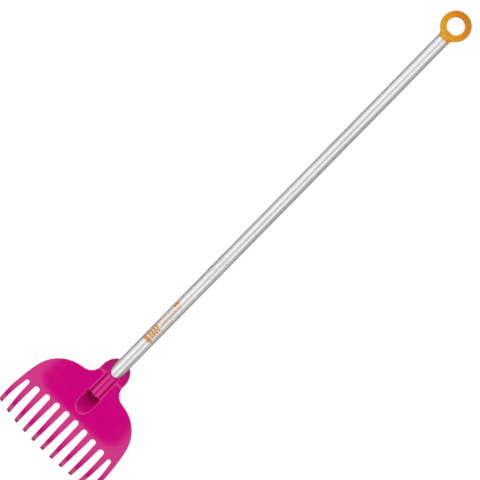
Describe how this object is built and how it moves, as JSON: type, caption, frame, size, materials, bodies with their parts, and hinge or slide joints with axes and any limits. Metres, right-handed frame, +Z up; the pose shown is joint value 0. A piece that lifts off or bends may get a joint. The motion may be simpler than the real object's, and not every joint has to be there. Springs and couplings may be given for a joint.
{
  "type": "sand rake",
  "caption": "Child's sand rake: wide moulded head with curled tines, straight aluminium tube let into its socket, and a round hanging ring on the other end.",
  "frame": {"origin": "centre of the bounding box's bottom: the rake lies on the ground on its tines' tips and its ring's collar", "axes": "+Y from the tines to the hanging ring, +X across the head, +Z up, which is the side the picture looks at"},
  "size_m": [0.2276, 1.048, 0.0559],
  "materials": {
    "head_plastic": "moulded polypropylene, magenta, half gloss",
    "tube_metal": "drawn aluminium, satin",
    "ring_plastic": "moulded polypropylene, orange, half gloss",
    "screw_steel": "zinc plated steel",
    "label_plastic": "clear film printed in orange",
    "upper_label_plastic": "hazy clear film with small grey marks"
  },
  "bodies": {
    "root": {"rake_head": "head_plastic", "handle_tube": "tube_metal", "hang_ring": "ring_plastic", "head_screw": "screw_steel", "label_film": "label_plastic", "upper_label_film": "upper_label_plastic"}
  },
  "joints": []
}
